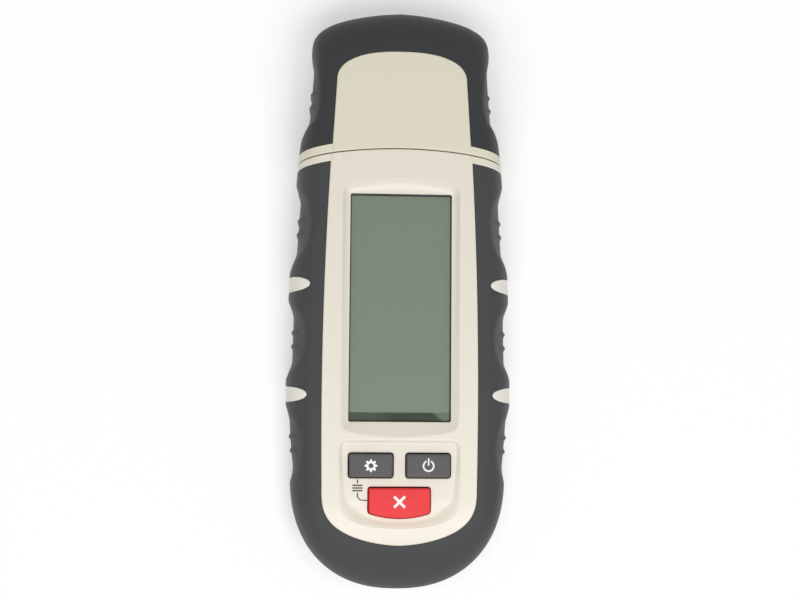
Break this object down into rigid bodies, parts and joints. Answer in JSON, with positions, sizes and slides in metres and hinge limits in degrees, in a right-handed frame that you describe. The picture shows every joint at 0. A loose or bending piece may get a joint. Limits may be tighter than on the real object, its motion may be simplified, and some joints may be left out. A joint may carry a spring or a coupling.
{
  "type": "pin moisture meter",
  "caption": "Hand-held pin moisture meter with a soft-grip case, display window, grey and red rubber keys, battery door and a pull-off cap over its needles.",
  "frame": {"origin": "middle of the meter's outline, on the plane of its back, with the meter lying on its back", "axes": "+Y from the butt towards the cap, +Z from the back up through the face, +X to the right of someone reading the display"},
  "size_m": [0.064, 0.165, 0.0269],
  "materials": {
    "case_beige": "fine satin texture, warm beige",
    "grip_charcoal": "soft-touch, fine matt grain",
    "key_grey": "matt moulded silicone rubber",
    "key_red": "matt moulded silicone rubber",
    "lens_clear": "clear acrylic, glossy",
    "tape_black": "black foam tape",
    "display_green": "grey-green reflective liquid crystal cell",
    "light_white": "white moulded plastic",
    "strip_dark": "matt rubber",
    "carbon": "conducting carbon rubber",
    "board_green": "green solder mask",
    "chip_black": "black moulded epoxy",
    "head_black": "black insulating plastic",
    "brass": "turned and stamped brass",
    "steel": "bright plated steel",
    "battery_jacket": "glossy metal jacket"
  },
  "bodies": {
    "meter": {"front_case": "case_beige", "rear_case": "case_beige", "front_grip": "grip_charcoal", "rear_grip": "grip_charcoal", "display_lens": "lens_clear", "lens_tape": "tape_black", "display_cell": "display_green", "light_guide_plate": "light_white", "display_holder": "light_white", "contact_strip": "strip_dark", "main_board": "board_green", "board_chips": "chip_black", "buzzer": "chip_black", "keypad_sheet": "strip_dark", "electrode_head": "head_black", "electrode_sockets": "brass", "electrode_nuts": "steel", "electrode_needles": "steel", "electrode_leads": "brass", "battery_cell_left": "battery_jacket", "battery_cell_middle": "battery_jacket", "battery_cell_right": "battery_jacket", "battery_springs": "steel", "battery_contacts": "steel", "case_screws": "steel", "board_screws": "steel"},
    "cap": {"cap_shell": "case_beige", "cap_grip": "grip_charcoal"},
    "set_key": {"set_key": "key_grey", "set_key_pill": "carbon"},
    "mode_key": {"mode_key": "key_grey", "mode_key_pill": "carbon"},
    "clear_key": {"clear_key": "key_red", "clear_key_pill": "carbon"},
    "door": {"battery_door": "case_beige"}
  },
  "joints": [
    {"name": "cap_pull", "type": "slide", "parent": "meter", "child": "cap", "axis": [0, 1, 0], "range_m": [0, 0.045]},
    {"name": "set_key_press", "type": "slide", "parent": "meter", "child": "set_key", "axis": [0, 0, -1], "range_m": [0, 0.0007], "stiffness_N_per_m": 400},
    {"name": "mode_key_press", "type": "slide", "parent": "meter", "child": "mode_key", "axis": [0, 0, -1], "range_m": [0, 0.0007], "stiffness_N_per_m": 400},
    {"name": "clear_key_press", "type": "slide", "parent": "meter", "child": "clear_key", "axis": [0, 0, -1], "range_m": [0, 0.0007], "stiffness_N_per_m": 400},
    {"name": "door_hinge", "type": "hinge", "parent": "meter", "child": "door", "pos_m": [0, -0.0006, 0.0011], "axis": [1, 0, 0], "range_deg": [0, 40]}
  ]
}
